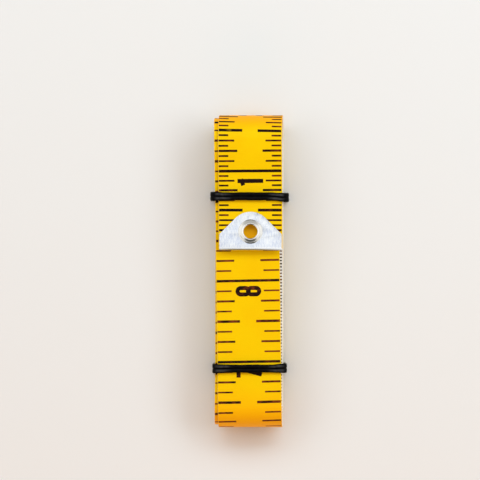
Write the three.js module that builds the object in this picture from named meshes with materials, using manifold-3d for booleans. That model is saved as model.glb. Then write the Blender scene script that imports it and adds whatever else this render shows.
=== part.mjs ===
// A cloth tape measure, 60 inches long, wound flat into a hank of eight turns. Its first few
// centimetres, with the metal end tab and the hanging eyelet, lie on top as a flap, and two black
// rubber bands hold the turns together.
//
// Millimetres. X runs across the tape, Y along the hank towards the loop that the tape goes over
// first, and Z up through the stack. The hank lies on its two bands at Z = 0, with its printed
// face up.
import * as THREE from "three";
import { mergeVertices } from "three/addons/utils/BufferGeometryUtils.js";
import Module from "manifold-3d";

// The tape.
const tapeLength = 1524;
const tapeWidth = 20;
const tapeThickness = 0.45;

// The hank. Its length follows from how much tape each of the turns has to take up.
const turns = 8;
const layerGap = 0.43; // air between two layers of the loosely wound stack
const topSwell = 1.05; // how far the loops at the top end bulge past the flat stack
const bottomSwell = 0.15;
const swellRun = 9; // length over which a layer climbs from the flat stack to its loop
const topShoulder = 3; // level stretch between that climb and the loop at the top end
const innerLead = 29.8; // tape past the last loop, at the core of the hank
const leastGap = 0.4; // air that has to be left between the turns

// The flap: the free end of the tape, which lifts at a bend just below the upper band.
const bendDrop = 1.7; // from the edge of the upper band to the bend
const bendGap = 0.15;
const tabMargin = 1.9; // from the bend to the top of the end tab
const flapTilt = THREE.MathUtils.degToRad(7); // the tape's own spring holds the flap up

// The end tab, a plate folded round the end of the tape, with its sides cut to a rounded arch.
const sheet = 0.25;
const sheetClearance = 0.03; // between a plate and the tape inside it
const tabInset = 0.25; // from each edge of the tape to the tab's side
const tabHeight = 12.05;
const tabSide = 5; // upright edge, up to the sloping shoulder
const tabCorner = 1;
const shoulderAngle = Math.PI / 4;
const eyeletHeight = 5.8; // from the fold to the middle of the eyelet

// The eyelet, pressed through both plates and the tape.
const eyeletBore = 2.1; // radius
const eyeletWall = 0.25;
const eyeletFace = 3.8; // radius of the domed front flange
const eyeletBack = 3.2; // radius of the rolled back
const domeRise = 0.55;
const backRise = 0.3;
const eyeletPlay = 0.1;
const flangeGap = 0.02;

// The plain folded ferrule on the inner end of the tape.
const ferruleInset = 0.3; // from each edge of the tape
const ferruleLength = 7;

// The rubber bands: one band each, wound twice round the stack, so two strands lie side by side.
const strandWidth = 1.32;
const strandPress = 0.04; // how far the two strands are pressed into each other
const strandRise = 0.9; // thickness, from the stack outwards
const bandClearance = 0.25; // above and below the stack
const upperBandSlack = 0.35; // at the edges of the tape
const lowerBandSlack = 0.1;
const bandCorner = 0.8; // inside radius where a band turns round the edge of the tape
const upperBandInset = 25.5; // from the top end of the hank to the middle of the band
const lowerBandInset = 18.4; // from the bottom end

// Sideways place of each straight run at its start and its end, as shares of the tape's width:
// up the front, then down the back, and so on from the outer end in.
const outerSwayShares = [
  [0.02, 0.011],
  [0.0425, 0.035],
  [0.002, -0.05],
  [0.015, 0.02],
  [-0.05, -0.02],
  [0.03, 0.025],
];
const innerSwayShares = [
  [-0.029, -0.026],
  [0.0375, 0.034],
];

// Steps of the curves, and the overrun of every cut.
const loopSteps = 16;
const swellSteps = 6;
const shoulderSteps = 1;
const flatSteps = 2;
const roundSteps = 36;
const domeSteps = 8;
const cornerSteps = 4;
const arcSteps = 6;
const cutOverrun = 1;

const goldenYellow = 0xffc80a;
const nickel = 0xd4d6dc;
const paleNickel = 0xdedbd0;
const rubberBlack = 0x111214;

// Sizes that follow from those above.
const strandPitch = strandWidth - strandPress;
const bandWidth = strandPitch + strandWidth;
const flapLength = tabHeight + tabMargin;
const tipInset = upperBandInset + bandWidth / 2 + bendDrop + flapLength; // to the zero edge

const layerPitch = tapeThickness + layerGap;
const topRadius = (turn) => (turns - turn) * layerPitch + topSwell;
const bottomRadius = (turn) => (turns - turn - 1 / 2) * layerPitch + bottomSwell;
const turnList = Array.from({ length: turns }, (_, turn) => turn);
const loopTape = turnList.reduce((sum, turn) => sum + Math.PI * (topRadius(turn) + bottomRadius(turn)), 0);
const firstRun = tipInset - topRadius(0) - tapeThickness / 2;
const climbShare = 0.6; // a smooth climb takes this share of rise * rise / run in extra tape
const climbTape = (2 * turns * climbShare * (topSwell ** 2 + bottomSwell ** 2)) / swellRun;
const run = (tapeLength - innerLead - loopTape - firstRun - climbTape) / (2 * turns - 1);
const hankLength = run + topRadius(0) + bottomRadius(0) + tapeThickness;
const topCentre = hankLength / 2 - topRadius(0) - tapeThickness / 2;
const bottomCentre = topCentre - run;

const tabWidth = tapeWidth - 2 * tabInset;
const ferruleWidth = tapeWidth - 2 * ferruleInset;
const mostSway = tapeWidth * Math.max(...[...outerSwayShares, ...innerSwayShares].flat().map(Math.abs));
const upperBandY = hankLength / 2 - upperBandInset;
const lowerBandY = lowerBandInset - hankLength / 2;

const backLayerZ = strandRise + bandClearance + tapeThickness / 2;
const frontLayerZ = (turn) => backLayerZ + (2 * turns - turn) * layerPitch;
const tipY = hankLength / 2 - tipInset;
const bendY = tipY + flapLength;

const { Manifold, Mesh: SolidMesh } = await loadSolids();

async function loadSolids() {
  const wasm = await Module();
  wasm.setup();
  return wasm;
}

// Turns a closed three.js geometry into a solid for cutting and joining.
function solid(geometry) {
  const bare = geometry.clone();
  bare.deleteAttribute("normal");
  bare.deleteAttribute("uv");
  const merged = mergeVertices(bare);
  return new Manifold(
    new SolidMesh({
      numProp: 3,
      vertProperties: merged.attributes.position.array,
      triVerts: new Uint32Array(merged.index.array),
    }),
  );
}

// Turns a solid back into a three.js geometry.
function geometryOf(shape) {
  const mesh = shape.getMesh();
  const geometry = new THREE.BufferGeometry();
  geometry.setAttribute("position", new THREE.BufferAttribute(mesh.vertProperties, 3));
  geometry.setIndex(new THREE.BufferAttribute(mesh.triVerts, 1));
  geometry.computeVertexNormals();
  return geometry;
}

function boxBetween(low, high) {
  const size = high.clone().sub(low);
  const middle = high.clone().add(low).divideScalar(2);
  return new THREE.BoxGeometry(size.x, size.y, size.z).translate(middle.x, middle.y, middle.z);
}

// A round bar along Z through (x, y), from z = -half to z = half.
function uprightBar(radius, half, x, y) {
  return new THREE.CylinderGeometry(radius, radius, 2 * half, roundSteps)
    .rotateX(Math.PI / 2)
    .translate(x, y, 0);
}

// Joins rings of points, all with as many points, into one closed skin. A closed sweep joins its
// last ring to its first, and an open one has a flat cap at each end.
function skin(rings, closed) {
  const across = rings[0].length;
  const corner = (ring, point) => (ring % rings.length) * across + (point % across);
  const index = [];
  const spans = closed ? rings.length : rings.length - 1;
  for (let ring = 0; ring < spans; ring += 1) {
    for (let point = 0; point < across; point += 1) {
      const near = [corner(ring, point), corner(ring, point + 1)];
      const far = [corner(ring + 1, point), corner(ring + 1, point + 1)];
      index.push(near[0], near[1], far[1], near[0], far[1], far[0]);
    }
  }
  if (!closed) {
    const last = rings.length - 1;
    for (let point = 1; point < across - 1; point += 1) {
      index.push(corner(0, 0), corner(0, point + 1), corner(0, point));
      index.push(corner(last, 0), corner(last, point), corner(last, point + 1));
    }
  }
  const geometry = new THREE.BufferGeometry().setFromPoints(rings.flat());
  geometry.setIndex(index);
  geometry.computeVertexNormals();
  return geometry;
}

// Sideways place of the tape on a run, which counts two for each turn, at a share of its length.
function swayOn(runIndex, share) {
  const [start, end] = outerSwayShares[runIndex] ?? innerSwayShares[runIndex % innerSwayShares.length];
  return tapeWidth * THREE.MathUtils.lerp(start, end, share);
}

// How far a layer stands off the flat stack at y, where the loops at both ends swell it.
function swellAt(y) {
  const topStart = topCentre - topShoulder - swellRun;
  const top = THREE.MathUtils.smoothstep(y, topStart, topStart + swellRun);
  const bottom = 1 - THREE.MathUtils.smoothstep(y, bottomCentre, bottomCentre + swellRun);
  return topSwell * top + bottomSwell * bottom;
}

// The places along a straight run, from the bottom end up, close together where it swells.
function runPlaces() {
  const steps = (from, to, count) =>
    Array.from({ length: count }, (_, step) => THREE.MathUtils.lerp(from, to, step / count));
  const topStart = topCentre - topShoulder - swellRun;
  return [
    ...steps(bottomCentre, bottomCentre + swellRun, swellSteps),
    ...steps(bottomCentre + swellRun, topStart, flatSteps),
    ...steps(topStart, topStart + swellRun, swellSteps),
    ...steps(topStart + swellRun, topCentre, shoulderSteps),
    topCentre,
  ];
}

function frontPoint(turn, y) {
  const sway = swayOn(2 * turn, (y - bottomCentre) / run);
  return new THREE.Vector3(sway, y, frontLayerZ(turn) + swellAt(y));
}

function backPoint(turn, y) {
  const sway = swayOn(2 * turn + 1, (topCentre - y) / run);
  return new THREE.Vector3(sway, y, backLayerZ + turn * layerPitch - swellAt(y));
}

// The places round a half loop, without its two ends, which the runs bring.
function loopPoints(turn, atTop) {
  const radius = atTop ? topRadius(turn) : bottomRadius(turn);
  const centreZ = backLayerZ + (atTop ? turns : turns - 1 / 2) * layerPitch;
  const centreY = atTop ? topCentre : bottomCentre;
  const outward = atTop ? 1 : -1;
  const runBefore = 2 * turn + (atTop ? 0 : 1);
  return Array.from({ length: loopSteps - 1 }, (_, step) => {
    const share = (step + 1) / loopSteps;
    const angle = Math.PI * share;
    return new THREE.Vector3(
      THREE.MathUtils.lerp(swayOn(runBefore, 1), swayOn(runBefore + 1, 0), share),
      centreY + outward * radius * Math.sin(angle),
      centreZ + outward * radius * Math.cos(angle),
    );
  });
}

// The middle line of the wound tape, from the bend of the flap to the inner end.
function windingLine() {
  const upward = runPlaces();
  const downward = [...upward].reverse();
  const start = bendY + bendGap;
  const line = [start, ...upward.filter((y) => y > start)].map((y) => frontPoint(0, y));
  for (const turn of turnList) {
    line.push(...loopPoints(turn, true));
    line.push(...downward.map((y) => backPoint(turn, y)));
    line.push(...loopPoints(turn, false));
    const last = turn === turns - 1;
    const end = bottomCentre + innerLead;
    const places = last ? [...upward.filter((y) => y < end), end] : upward;
    line.push(...places.map((y) => frontPoint(turn + 1, y)));
  }
  return line;
}

// The four corners of the tape's section at each point of its middle line.
function tapeRings(line) {
  return line.map((point, place) => {
    const before = line[Math.max(0, place - 1)];
    const after = line[Math.min(line.length - 1, place + 1)];
    const along = after.clone().sub(before).normalize();
    const across = new THREE.Vector3(1, 0, 0).projectOnPlane(along).normalize();
    const outward = across.clone().cross(along);
    const corners = [
      [-1, -1],
      [-1, 1],
      [1, 1],
      [1, -1],
    ];
    return corners.map(([side, face]) =>
      point
        .clone()
        .addScaledVector(across, (side * tapeWidth) / 2)
        .addScaledVector(outward, (face * tapeThickness) / 2),
    );
  });
}

// The least air between the turns, from each point of the line to the stretches of other layers.
function airBetweenTurns(line) {
  const travelled = [0];
  for (let place = 1; place < line.length; place += 1) {
    travelled.push(travelled[place - 1] + line[place].distanceTo(line[place - 1]));
  }
  const sameBend = Math.PI * bottomRadius(turns - 1);
  const nearest = new THREE.Vector3();
  let least = Infinity;
  line.forEach((point, place) => {
    for (let other = place + 1; other < line.length - 1; other += 1) {
      if (travelled[other] - travelled[place] < sameBend) continue;
      new THREE.Line3(line[other], line[other + 1]).closestPointToPoint(point, true, nearest);
      const offset = nearest.sub(point);
      least = Math.min(least, Math.hypot(offset.y, offset.z));
    }
  });
  return least - tapeThickness;
}

function tapeWinding() {
  const line = windingLine();
  const air = airBetweenTurns(line);
  const wound = line.slice(1).reduce((sum, point, place) => sum + point.distanceTo(line[place]), 0);
  const taped = wound + bendY + bendGap - tipY;
  console.log(`hank ${hankLength.toFixed(2)} mm long, tape ${taped.toFixed(1)} mm long`);
  console.log(`least air between the turns ${air.toFixed(3)} mm`);
  if (air < leastGap) console.log(`the turns lie closer than ${leastGap} mm`);
  return skin(tapeRings(line), false);
}

// A plate folded round the end of the tape. The fold is at y = 0, both plates reach up along +Y,
// and the tape's middle plane is z = 0.
const slotHalf = tapeThickness / 2 + sheetClearance;
const foldRadius = slotHalf + sheet;

function foldedPlate(width, reach) {
  const side = new THREE.Shape();
  side.moveTo(reach, -foldRadius);
  side.lineTo(reach, -slotHalf);
  side.absarc(foldRadius, 0, slotHalf, -Math.PI / 2, -1.5 * Math.PI, true);
  side.lineTo(reach, slotHalf);
  side.lineTo(reach, foldRadius);
  side.absarc(foldRadius, 0, foldRadius, Math.PI / 2, 1.5 * Math.PI, false);
  side.closePath();
  return new THREE.ExtrudeGeometry(side, { depth: width, bevelEnabled: false, curveSegments: arcSteps })
    .translate(0, 0, -width / 2)
    .rotateX(Math.PI / 2)
    .rotateZ(Math.PI / 2);
}

// The front of the tab: upright sides, sloping shoulders and a round arch that meets the
// shoulders without a corner.
function tabOutline() {
  const half = tabWidth / 2;
  const shoulderSum = half * Math.cos(shoulderAngle) + tabSide * Math.sin(shoulderAngle);
  const archCentre = (tabHeight - shoulderSum) / (1 - Math.sin(shoulderAngle));
  const archRadius = tabHeight - archCentre;
  const cornerY = tabSide - tabCorner * Math.tan(shoulderAngle / 2);
  const outline = new THREE.Shape();
  outline.moveTo(-half, -cutOverrun);
  outline.lineTo(half, -cutOverrun);
  outline.absarc(half - tabCorner, cornerY, tabCorner, 0, shoulderAngle, false);
  outline.absarc(0, archCentre, archRadius, shoulderAngle, Math.PI - shoulderAngle, false);
  outline.absarc(tabCorner - half, cornerY, tabCorner, Math.PI - shoulderAngle, Math.PI, false);
  outline.closePath();
  return outline;
}

function endTab() {
  const plates = solid(foldedPlate(tabWidth + 2 * cutOverrun, tabHeight + cutOverrun));
  const depth = 2 * (foldRadius + cutOverrun);
  const front = new THREE.ExtrudeGeometry(tabOutline(), {
    depth,
    bevelEnabled: false,
    curveSegments: arcSteps,
  });
  const holeRadius = eyeletBore + eyeletWall + eyeletPlay;
  const hole = solid(uprightBar(holeRadius, foldRadius + cutOverrun, 0, eyeletHeight));
  return geometryOf(plates.intersect(solid(front.translate(0, 0, -depth / 2))).subtract(hole));
}

// The free end of the tape, from the bend to the inside of the fold, with the eyelet's hole.
function freeEndStrip() {
  const holeRadius = eyeletBore + eyeletWall + eyeletPlay;
  const strip = solid(
    boxBetween(
      new THREE.Vector3(-tapeWidth / 2, foldRadius, -tapeThickness / 2),
      new THREE.Vector3(tapeWidth / 2, flapLength - bendGap, tapeThickness / 2),
    ),
  );
  const hole = solid(uprightBar(holeRadius, tapeThickness / 2 + cutOverrun, 0, eyeletHeight));
  return geometryOf(strip.subtract(hole));
}

// The eyelet turned about Z: a barrel with a domed flange in front and a smaller roll behind.
function eyeletRing() {
  const outer = eyeletBore + eyeletWall;
  const seat = foldRadius + flangeGap;
  const roll = (rim, rise, side) =>
    Array.from({ length: domeSteps + 1 }, (_, step) => {
      const angle = (Math.PI * step) / domeSteps;
      const middle = (rim + eyeletBore) / 2;
      const reach = (rim - eyeletBore) / 2;
      return new THREE.Vector2(middle + reach * Math.cos(angle), side * (seat + rise * Math.sin(angle)));
    });
  const profile = [
    new THREE.Vector2(outer, -seat),
    new THREE.Vector2(outer, seat),
    ...roll(eyeletFace, domeRise, 1),
    ...roll(eyeletBack, backRise, -1).reverse(),
  ];
  profile.push(profile[0].clone());
  const turned = new THREE.LatheGeometry(profile, roundSteps);
  return turned.rotateX(Math.PI / 2).translate(0, eyeletHeight, 0);
}

// The section of a band, as [place along the hank, place outwards]: two eight-sided strands,
// flat where they lie on the stack, that meet in a groove.
function bandSection() {
  const facet = Math.PI / 4;
  const facetReach = Math.cos(facet / 2);
  const halfWidth = strandWidth / 2 / facetReach;
  const halfRise = strandRise / 2 / facetReach;
  const grooveAngle = Math.acos(strandPitch / strandWidth);
  const strand = [Math.PI - grooveAngle];
  for (let corner = 5 / 2; corner >= -5 / 2; corner -= 1) strand.push(corner * facet);
  strand.push(grooveAngle - Math.PI);
  const right = strand.map((angle, place) => {
    const inGroove = place === 0 || place === strand.length - 1;
    const along = inGroove ? 0 : strandPitch / 2 + halfWidth * Math.cos(angle);
    return [along, halfRise * Math.sin(angle)];
  });
  const left = right.slice(1, -1).map(([along, outward]) => [-along, -outward]);
  return [...right, ...left];
}

// A band round the stack, whose inside reaches up past topZ.
function band(topZ, slack) {
  const halfWidth = tapeWidth / 2 + mostSway + slack;
  const insideHigh = topZ + bandClearance - strandRise;
  const middleZ = strandRise + insideHigh / 2;
  const section = bandSection();
  const rings = [];
  for (let corner = 0; corner < 4; corner += 1) {
    for (let step = 0; step <= cornerSteps; step += 1) {
      const angle = (Math.PI / 2) * (corner + step / cornerSteps);
      const outward = new THREE.Vector3(Math.cos(angle), 0, Math.sin(angle));
      const sideX = corner === 0 || corner === 3 ? 1 : -1;
      const sideZ = corner < 2 ? 1 : -1;
      const centre = new THREE.Vector3(
        sideX * (halfWidth - bandCorner),
        0,
        middleZ + sideZ * (insideHigh / 2 - bandCorner),
      );
      rings.push(
        section.map(([along, out]) => {
          const reach = bandCorner + strandRise / 2 + out;
          return centre.clone().addScaledVector(outward, reach).add(new THREE.Vector3(0, along, 0));
        }),
      );
    }
  }
  return skin(rings, true);
}

function named(name, geometry, colour, roughness, metalness) {
  const material = new THREE.MeshStandardMaterial({ color: colour, roughness, metalness });
  const mesh = new THREE.Mesh(geometry, material);
  mesh.name = name;
  return mesh;
}

// The flap turns about the top face of the tape at the bend, so that lifting it opens the gap.
function flap() {
  const hinge = new THREE.Group();
  const bend = frontPoint(0, bendY);
  hinge.position.set(bend.x, bendY, bend.z + tapeThickness / 2);
  hinge.rotation.x = -flapTilt;
  const atTip = new THREE.Group();
  atTip.position.set(0, -flapLength, -tapeThickness / 2);
  atTip.add(named("tape_free_end", freeEndStrip(), goldenYellow, 0.5, 0));
  atTip.add(named("end_tab", endTab(), nickel, 0.32, 1));
  atTip.add(named("eyelet", eyeletRing(), paleNickel, 0.18, 1));
  hinge.add(atTip);
  return hinge;
}

// The ferrule's fold faces on along the tape, so it is turned round on the inner end.
function coreEnd() {
  const ferrule = named("inner_ferrule", foldedPlate(ferruleWidth, ferruleLength), nickel, 0.35, 1);
  const end = frontPoint(turns, bottomCentre + innerLead);
  ferrule.rotation.z = Math.PI;
  ferrule.position.set(end.x, end.y + foldRadius, end.z);
  return ferrule;
}

function rubberBand(name, y, topTurn, slack) {
  const loop = band(frontLayerZ(topTurn) + tapeThickness / 2, slack);
  const mesh = named(name, loop, rubberBlack, 0.45, 0);
  mesh.position.y = y;
  return mesh;
}

const tapeMeasure = new THREE.Group();
tapeMeasure.add(named("tape_winding", tapeWinding(), goldenYellow, 0.5, 0));
tapeMeasure.add(flap());
tapeMeasure.add(coreEnd());
tapeMeasure.add(rubberBand("upper_band", upperBandY, 0, upperBandSlack));
tapeMeasure.add(rubberBand("lower_band", lowerBandY, 1, lowerBandSlack));

export default tapeMeasure;
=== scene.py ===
import bmesh
import bpy
import numpy as np
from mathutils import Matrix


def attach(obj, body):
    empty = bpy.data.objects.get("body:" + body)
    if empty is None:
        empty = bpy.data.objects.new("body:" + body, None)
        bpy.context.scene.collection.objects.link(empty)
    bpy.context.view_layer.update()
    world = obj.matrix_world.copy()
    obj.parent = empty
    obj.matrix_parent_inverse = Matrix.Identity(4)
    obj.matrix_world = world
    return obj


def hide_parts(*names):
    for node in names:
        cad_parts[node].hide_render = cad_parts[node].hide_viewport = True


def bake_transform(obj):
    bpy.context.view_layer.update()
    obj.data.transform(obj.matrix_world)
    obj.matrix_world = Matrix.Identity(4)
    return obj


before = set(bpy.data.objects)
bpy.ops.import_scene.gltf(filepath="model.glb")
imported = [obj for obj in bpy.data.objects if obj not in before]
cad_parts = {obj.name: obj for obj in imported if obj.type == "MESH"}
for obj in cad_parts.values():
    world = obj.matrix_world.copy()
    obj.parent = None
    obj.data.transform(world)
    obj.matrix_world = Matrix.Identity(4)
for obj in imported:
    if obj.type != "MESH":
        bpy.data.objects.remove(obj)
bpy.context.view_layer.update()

mm = 0.001  # all shapes below are worked out in millimetres
print("frame loaded")

# The tape's path, with the same sizes as the frame's own source.
tape = {
    "length": 1524,
    "width": 20,
    "thickness": 0.45,
    "turns": 8,
    "layerGap": 0.43,
    "topSwell": 1.05,
    "bottomSwell": 0.15,
    "swellRun": 9,
    "topShoulder": 3,
    "innerLead": 29.8,
    "tipInset": 42.45,
    "climbShare": 0.6,
    "stackFoot": 1.375,  # height of the lowest layer's middle
    "flapLength": 13.95,
    "flapTilt": 7,
    "foldRadius": 0.505,  # the tape starts inside the fold of the end tab
    "bendReach": 1.5,  # the flap's slope eases to level this far on both sides of the bend
    "seam": 17.3,  # from the zero edge, hidden under the upper band
    "seamGap": 0.02,
    "edgeRound": 0.12,
    "edgePower": 0.6,  # below 1 the rounded edge is squarer than a half circle
    "edgeSupport": 0.05,  # a row of points this far in from the rounded edge
    "rowStep": 1.1,
    "flapStep": 0.5,
    "bendStep": 0.12,
    "loopRows": 44,
    "waveHeight": 0.08,
    "waveLength": 34,
    "waveFade": (12, 14),  # before the lower and the upper loops
    "innerShift": 0.08,
    "frontStill": 0.3,  # share of the second turn's loops, on the front, that doesn't slide over
    "turnLimit": 0.045,  # the most that a row turns towards the side that the tape slides to
    "turnRun": 4,
    "crease": 35,  # degrees between faces, past which an edge looks sharp
}
inchLength = 25.4

# Sideways place of each straight run at its start, middle and end, up the front and down the
# back. The third front run also fans out where it leaves the lower loop.
outerSway = [
    [0.40, 0.36, 0.12],
    [0.78, 0.72, 0.62],
    [0.03, -0.48, -1.18],
    [0.30, 0.35, 0.40],
    [-0.86, -0.76, -0.40],
    [0.60, 0.56, 0.50],
]
innerSway = [[-0.58, -0.55, -0.52], [0.62, 0.58, 0.55]]
fan = {"run": 4, "shift": -0.14, "share": 0.13}

turns = tape["turns"]
pitch = tape["thickness"] + tape["layerGap"]
halfThick = tape["thickness"] / 2
halfWide = tape["width"] / 2


# Rises from 0 at low to 1 at high along 3t^2 - 2t^3.
def smooth(value, low, high):
    t = np.clip((value - low) / (high - low), 0, 1)
    return t * t * (3 - 2 * t)


# From a to b in a straight line.
def mix(a, b, share):
    return a + (b - a) * share


# Each row divided by its length.
def unit(rows):
    return rows / np.linalg.norm(rows, axis=1)[:, None]


# The radii of the loops and the length of a straight run, which the length of the tape fixes.
def hankSizes():
    turn = np.arange(turns)
    top = (turns - turn) * pitch + tape["topSwell"]
    bottom = (turns - turn - 0.5) * pitch + tape["bottomSwell"]
    leadRun = tape["tipInset"] - top[0] - halfThick
    climb = 2 * turns * tape["climbShare"] * (tape["topSwell"] ** 2 + tape["bottomSwell"] ** 2)
    straight = tape["length"] - tape["innerLead"] - np.pi * (top + bottom).sum()
    run = (straight - leadRun - climb / tape["swellRun"]) / (2 * turns - 1)
    length = run + top[0] + bottom[0] + tape["thickness"]
    topCentre = length / 2 - top[0] - halfThick
    return {
        "top": top,
        "bottom": bottom,
        "run": run,
        "length": length,
        "topCentre": topCentre,
        "bottomCentre": topCentre - run,
        "tipY": length / 2 - tape["tipInset"],
    }


hank = hankSizes()
bendY = hank["tipY"] + tape["flapLength"]
shifts = np.random.default_rng(5).uniform(-1, 1, (2 * turns + 1, 4))


# Height of a front layer's middle: one pitch for each layer below it.
def frontZ(turn):
    return tape["stackFoot"] + (2 * turns - turn) * pitch


# A parabola through each run's three places, and the inner runs wander a little more.
def swayOf(run, share):
    start, middle, end = outerSway[run] if run < len(outerSway) else innerSway[run % 2]
    if len(outerSway) <= run < 2 * turns - 1:
        start = start + tape["innerShift"] * shifts[run, 0]
        end = end + tape["innerShift"] * shifts[run, 1]
    back = 1 - share
    sway = start * back * (1 - 2 * share) + 4 * middle * share * back + end * share * (2 * share - 1)
    return sway + (fan["shift"] * (1 - smooth(share, 0, fan["share"])) if run == fan["run"] else 0)


# How far a layer stands off the flat stack: a smooth climb to the loops at both ends.
def swell(y):
    start = hank["topCentre"] - tape["topShoulder"] - tape["swellRun"]
    top = smooth(y, start, start + tape["swellRun"])
    bottom = 1 - smooth(y, hank["bottomCentre"], hank["bottomCentre"] + tape["swellRun"])
    return tape["topSwell"] * top + tape["bottomSwell"] * bottom


# A slow sine along each inner run, which dies out towards its loops.
def wave(run, y):
    if run < 3 or run > 2 * turns - 3:
        return np.zeros_like(y)
    low, high = hank["bottomCentre"], hank["topCentre"]
    lowFade, highFade = tape["waveFade"]
    fade = smooth(y, low, low + lowFade) * (1 - smooth(y, high - highFade, high))
    angle = 2 * np.pi * y / tape["waveLength"] + np.pi * shifts[run, 2]
    return tape["waveHeight"] * shifts[run, 3] * fade * np.sin(angle)


# Even steps from start to end, none longer than step.
def evenly(start, end, step):
    count = max(2, int(np.ceil(abs(end - start) / step)) + 1)
    return np.linspace(start, end, count)


# A straight run: up the front for even numbers, down the back for odd ones.
def straightRun(run, y):
    turn = run // 2
    onFront = run % 2 == 0
    share = (y - hank["bottomCentre"]) / hank["run"]
    x = swayOf(run, share if onFront else 1 - share)
    z = frontZ(turn) + swell(y) if onFront else tape["stackFoot"] + turn * pitch - swell(y)
    return np.stack([x + 0 * y, y, z + wave(run, y)], 1)


# A half circle from one run to the next, whose sideways place eases between them. The loops of
# the second turn slide over on their back only.
def loopBetween(run):
    turn = run // 2
    atTop = run % 2 == 0
    outward = 1 if atTop else -1
    radius = hank["top" if atTop else "bottom"][turn]
    share = np.linspace(0, 1, tape["loopRows"] + 1)[1:-1]
    angle = np.pi * share
    still = tape["frontStill"] if turn == 1 else 0
    eased = smooth(share, still, 1) if atTop else smooth(share, 0, 1 - still)
    x = mix(swayOf(run, 1), swayOf(run + 1, 0), eased)
    y = hank["topCentre" if atTop else "bottomCentre"] + outward * radius * np.sin(angle)
    z = tape["stackFoot"] + (turns - (0 if atTop else 0.5)) * pitch + outward * radius * np.cos(angle)
    return np.stack([x, y, z], 1)


# The flap is straight at its tilt, and its slope eases to level round the bend. Its height is
# the slope's running sum from the upper band back to the tip.
def firstRun():
    tilt = np.radians(tape["flapTilt"])
    bend = swayOf(0, (bendY - hank["bottomCentre"]) / hank["run"])
    tip = bendY - (tape["flapLength"] - tape["foldRadius"]) * np.cos(tilt) - halfThick * np.sin(tilt)
    y = np.concatenate([
        evenly(tip, bendY - tape["bendReach"], tape["flapStep"])[:-1],
        evenly(bendY - tape["bendReach"], bendY + tape["bendReach"], tape["bendStep"])[:-1],
        evenly(bendY + tape["bendReach"], hank["topCentre"], tape["rowStep"]),
    ])
    points = straightRun(0, y)
    slope = np.tan(tilt * (1 - smooth(y, bendY - tape["bendReach"], bendY + tape["bendReach"])))
    rises = (slope[1:] + slope[:-1]) / 2 * np.diff(y)
    points[:, 2] += rises.sum() - np.concatenate([[0], np.cumsum(rises)])
    points[:, 0] = np.where(y < bendY, bend, points[:, 0])
    return points


# Evens a value out along the path: its mean over a stretch, weighted 1 + cos from end to end.
def evened(s, value, stretch):
    step = 0.1
    fine = np.arange(s[0] - stretch, s[-1] + stretch, step)
    bell = 1 + np.cos(np.linspace(-np.pi, np.pi, round(stretch / step) + 1))
    return np.interp(s, fine, np.convolve(np.interp(fine, s, value), bell / bell.sum(), "same"))


# The whole middle line with its frame: distance along the tape, across (to +X), and outward.
# Across turns with the tape's sideways slope, but slowly and only as far as the limit, so that
# inner loops, which slide over steeply, stay on their half circles.
def tapePath():
    low, high = hank["bottomCentre"], hank["topCentre"]
    lines = [firstRun()]
    for run in range(1, 2 * turns + 1):
        lines.append(loopBetween(run - 1))
        ends = (low, high) if run % 2 == 0 else (high, low)
        if run == 2 * turns:
            ends = (low, low + tape["innerLead"])
        lines.append(straightRun(run, evenly(*ends, tape["rowStep"])))
    point = np.concatenate(lines)
    steps = np.linalg.norm(np.diff(point, axis=0), axis=1)
    s = tape["foldRadius"] + np.concatenate([[0], np.cumsum(steps)])
    along = unit(np.gradient(point, axis=0))
    turned = evened(s, np.clip(along[:, 0], -tape["turnLimit"], tape["turnLimit"]), tape["turnRun"])
    across = unit(np.array([1.0, 0, 0]) - turned[:, None] * along)
    return {"s": s, "point": point, "across": across, "outward": unit(np.cross(across, along))}


path = tapePath()
print(f"tape path {path['s'][-1]:.1f} mm long, hank {hank['length']:.2f} mm")


# From tape coordinates (along, across, outward) to the wound place, between the path's rows.
def onTape(flat):
    def between(values):
        return np.stack([np.interp(flat[:, 0], path["s"], values[:, k]) for k in range(3)], 1)

    point = between(path["point"])
    return point + flat[:, 1:2] * between(path["across"]) + flat[:, 2:3] * between(path["outward"])


def addObject(name, data):
    made = bpy.data.objects.new(name, data)
    bpy.context.scene.collection.objects.link(made)
    return made


# Puts points in millimetres and faces into a mesh object at the origin.
def putMesh(name, points, faces, crease=tape["crease"]):
    mesh = bpy.data.meshes.new(name)
    mesh.from_pydata((np.asarray(points) * mm).tolist(), [], [list(face) for face in faces])
    mesh.validate()
    mesh.shade_smooth()
    mesh.set_sharp_from_angle(angle=np.radians(crease))
    return addObject(name, mesh)


# Turns the faces of each closed part outwards.
def turnOutwards(piece):
    shape = bmesh.new()
    shape.from_mesh(piece.data)
    bmesh.ops.recalc_face_normals(shape, faces=shape.faces)
    shape.to_mesh(piece.data)
    shape.free()


# A named vector for each point, which the materials read.
def addCoordinates(piece, name, values):
    data = piece.data.attributes.new(name, "FLOAT_VECTOR", "POINT").data
    data.foreach_set("vector", np.asarray(values, np.float32).ravel())


# Quads between the rows of a grid whose rows are closed rings.
def ringFaces(rows, around, closed=False):
    row = np.arange(rows if closed else rows - 1)[:, None]
    point = np.arange(around)[None, :]
    after = (point + 1) % around
    nextRow = (row + 1) % rows
    quads = [row * around + point, row * around + after, nextRow * around + after, nextRow * around + point]
    return np.stack(np.broadcast_arrays(*quads), -1).reshape(-1, 4)


# The tape's section: flat faces, and edges rounded along a squarish half ellipse.
def tapeSection():
    angle = np.radians(np.linspace(90, -90, 9))
    power = tape["edgePower"]
    reach = halfWide - tape["edgeRound"] * (1 - np.abs(np.cos(angle)) ** power)
    height = halfThick * np.sign(np.sin(angle)) * np.abs(np.sin(angle)) ** power
    right = np.stack([reach, height], 1)
    support = np.array([[right[0, 0] - tape["edgeSupport"], halfThick]])
    right = np.concatenate([support, right, support * [1, -1]])
    return np.concatenate([right, right[::-1] * [-1, 1]])


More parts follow.
